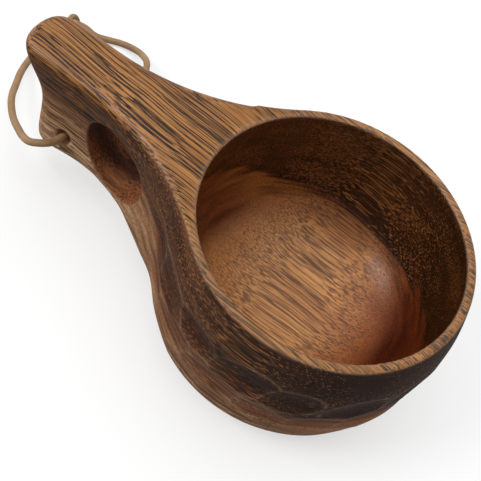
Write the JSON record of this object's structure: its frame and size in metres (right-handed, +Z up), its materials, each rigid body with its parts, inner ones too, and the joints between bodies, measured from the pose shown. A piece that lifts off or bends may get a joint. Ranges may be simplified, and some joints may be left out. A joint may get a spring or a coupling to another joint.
{
  "type": "wooden kuksa cup",
  "caption": "Carved wooden drinking cup: a round bowl that flares into a flat handle with a bored finger hole, and a knotted leather lanyard through the end of the handle.",
  "frame": {"origin": "on the surface that the cup stands on, under the middle of the wooden body's length and width", "axes": "+Z up out of the bowl, -X along the handle to its end, +Y across the body"},
  "size_m": [0.183, 0.1054, 0.055],
  "materials": {
    "oiled_wood": "open-grained brown hardwood, oiled to a satin",
    "leather_lace": "matt natural tan lace"
  },
  "bodies": {
    "cup": {"cup_body": "oiled_wood"},
    "lanyard": {"lanyard_cord": "leather_lace", "lanyard_knot": "leather_lace"}
  },
  "joints": [
    {"name": "lanyard_swing", "type": "hinge", "parent": "cup", "child": "lanyard", "pos_m": [-0.05878, 0, 0.02162], "axis": [0, 1, 0], "range_deg": [-65, 60]}
  ]
}
